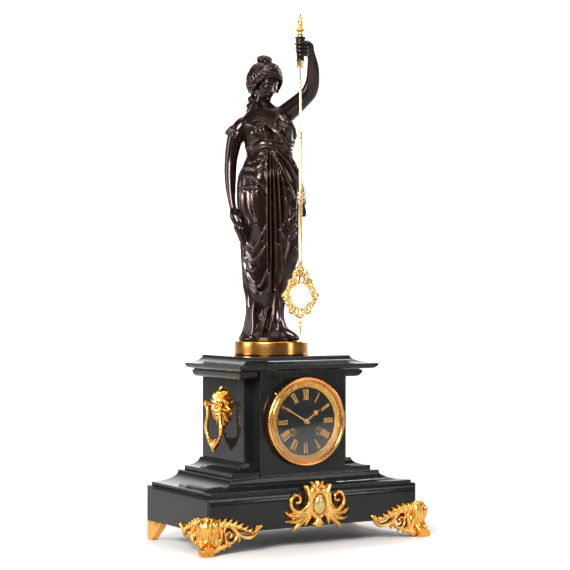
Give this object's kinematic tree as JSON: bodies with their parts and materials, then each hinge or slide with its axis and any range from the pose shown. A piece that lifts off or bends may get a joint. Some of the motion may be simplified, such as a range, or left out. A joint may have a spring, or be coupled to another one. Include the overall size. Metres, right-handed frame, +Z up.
{
  "type": "figural mantel clock",
  "caption": "Black slate mantel clock with a bronze draped figure on a gilt rocking turntable, holding out a long gilt pendulum; dial with opening glazed bezel, scrolled feet and drop handles.",
  "frame": {"origin": "middle of the bounding box on the surface that the clock stands on", "axes": "+X to the right seen from the front, +Y to the back, +Z up; the dial faces -Y"},
  "size_m": [0.362, 0.1855, 0.7232],
  "materials": {
    "slate": "polished black slate",
    "gilt": "worn gilding",
    "copper_gilt": "reddish worn gilding",
    "bronze": "dark brown patina",
    "brass": "lacquered",
    "steel": "plain",
    "cabochon": "polished olive gold",
    "dial_black": "black enamel paint",
    "glass": "clear",
    "mirror": "silvered"
  },
  "bodies": {
    "case": {"plinth_front": "slate", "plinth_ends": "slate", "plinth_back": "slate", "cove_slab": "slate", "surbase_moulding": "slate", "dial_block": "slate", "front_slab": "slate", "side_slabs": "slate", "back_slab": "slate", "bed_moulding": "slate", "cornice_slab": "slate", "front_foot_left": "gilt", "front_foot_right": "gilt", "rear_feet": "copper_gilt", "front_mount": "gilt", "cabochon": "cabochon", "lion_masks": "copper_gilt", "dial": "dial_black", "dial_seat": "gilt", "front_plate": "brass", "back_plate": "brass", "plate_pillars": "brass", "case_straps": "steel", "bell": "brass", "bell_stand": "steel", "rear_ring": "brass", "spindle_bush": "brass"},
    "bezel": {"bezel_ring": "gilt", "bezel_glass": "glass", "bezel_slip": "gilt"},
    "rear_cover": {"rear_door": "brass"},
    "handle_left": {"drop_handle_left": "copper_gilt"},
    "handle_right": {"drop_handle_right": "copper_gilt"},
    "minute_work": {"centre_wheel": "brass", "minute_hand": "gilt"},
    "hour_work": {"hour_wheel": "brass", "hour_hand": "gilt"},
    "minute_idler": {"minute_wheel": "brass"},
    "second_arbor": {"second_wheel": "brass"},
    "third_arbor": {"third_wheel": "brass"},
    "escape_arbor": {"escape_wheel": "brass"},
    "going_drum": {"going_barrel": "brass"},
    "strike_drum": {"strike_barrel": "brass"},
    "going_winder": {"going_arbor": "steel"},
    "strike_winder": {"strike_arbor": "steel"},
    "crutch_lever": {"crutch": "steel"},
    "hammer_lever": {"hammer": "steel"},
    "platform": {"turn_spindle": "steel", "turntable_drum": "gilt", "figure_body": "bronze", "figure_head": "bronze", "lowered_arm": "bronze", "raised_arm": "bronze", "torch": "bronze", "top_spire": "gilt", "pendulum_cock": "gilt"},
    "pendulum": {"suspension_spring": "steel", "pendulum_rod": "gilt", "bob_frame": "gilt", "bob_mirror": "mirror"}
  },
  "joints": [
    {"name": "bezel_swing", "type": "hinge", "parent": "case", "child": "bezel", "pos_m": [0.0633, -0.0502, 0.166], "axis": [0, 0, 1], "range_deg": [0, 110]},
    {"name": "rear_door_swing", "type": "hinge", "parent": "case", "child": "rear_cover", "pos_m": [0.0503, 0.0883, 0.166], "axis": [0, 0, -1], "range_deg": [0, 110]},
    {"name": "left_handle_swing", "type": "hinge", "parent": "case", "child": "handle_left", "pos_m": [-0.097, 0.029, 0.188], "axis": [0, 1, 0], "range_deg": [-4, 85]},
    {"name": "right_handle_swing", "type": "hinge", "parent": "case", "child": "handle_right", "pos_m": [0.097, 0.029, 0.188], "axis": [0, -1, 0], "range_deg": [-4, 85]},
    {"name": "minute_hand_turn", "type": "hinge", "parent": "case", "child": "minute_work", "pos_m": [0, 0, 0.166], "axis": [0, 1, 0], "continuous": true},
    {"name": "hour_hand_turn", "type": "hinge", "parent": "case", "child": "hour_work", "pos_m": [0, 0, 0.166], "axis": [0, 1, 0], "continuous": true},
    {"name": "minute_wheel_turn", "type": "hinge", "parent": "case", "child": "minute_idler", "pos_m": [0, 0, 0.154], "axis": [0, 1, 0], "continuous": true},
    {"name": "second_wheel_turn", "type": "hinge", "parent": "case", "child": "second_arbor", "pos_m": [0.01453, 0, 0.17525], "axis": [0, 1, 0], "continuous": true},
    {"name": "third_wheel_turn", "type": "hinge", "parent": "case", "child": "third_arbor", "pos_m": [-0.00959, 0, 0.1797], "axis": [0, 1, 0], "continuous": true},
    {"name": "escape_wheel_turn", "type": "hinge", "parent": "case", "child": "escape_arbor", "pos_m": [0, 0, 0.19128], "axis": [0, 1, 0], "continuous": true},
    {"name": "going_barrel_turn", "type": "hinge", "parent": "case", "child": "going_drum", "pos_m": [0.0205, 0, 0.152], "axis": [0, 1, 0], "continuous": true},
    {"name": "strike_barrel_turn", "type": "hinge", "parent": "case", "child": "strike_drum", "pos_m": [-0.0205, 0, 0.152], "axis": [0, 1, 0], "continuous": true},
    {"name": "going_winding", "type": "hinge", "parent": "case", "child": "going_winder", "pos_m": [0.0205, 0, 0.152], "axis": [0, 1, 0], "continuous": true},
    {"name": "strike_winding", "type": "hinge", "parent": "case", "child": "strike_winder", "pos_m": [-0.0205, 0, 0.152], "axis": [0, 1, 0], "continuous": true},
    {"name": "platform_turn", "type": "hinge", "parent": "case", "child": "platform", "pos_m": [0, 0.037, 0.2539], "axis": [0, 0, 1], "range_deg": [-1.2, 1.2]},
    {"name": "crutch_rock", "type": "hinge", "parent": "case", "child": "crutch_lever", "pos_m": [0, 0, 0.20388], "axis": [0, 1, 0], "range_deg": [-2.4, 2.4]},
    {"name": "hammer_swing", "type": "hinge", "parent": "case", "child": "hammer_lever", "pos_m": [-0.03, 0, 0.186], "axis": [0, -1, 0], "range_deg": [0, 15]},
    {"name": "pendulum_swing", "type": "hinge", "parent": "platform", "child": "pendulum", "pos_m": [0, -0.04, 0.6512], "axis": [0, 1, 0], "range_deg": [-4, 4]}
  ],
  "couplings": [
    {"joint": "hour_hand_turn", "follows": "minute_hand_turn", "ratio": 0.083333},
    {"joint": "minute_wheel_turn", "follows": "minute_hand_turn", "ratio": -0.33333},
    {"joint": "second_wheel_turn", "follows": "minute_hand_turn", "ratio": -0.13889},
    {"joint": "going_barrel_turn", "follows": "minute_hand_turn", "ratio": 0.019841},
    {"joint": "third_wheel_turn", "follows": "minute_hand_turn", "ratio": -10},
    {"joint": "escape_wheel_turn", "follows": "minute_hand_turn", "ratio": 107.5},
    {"joint": "crutch_rock", "follows": "platform_turn", "ratio": 1.6668}
  ]
}
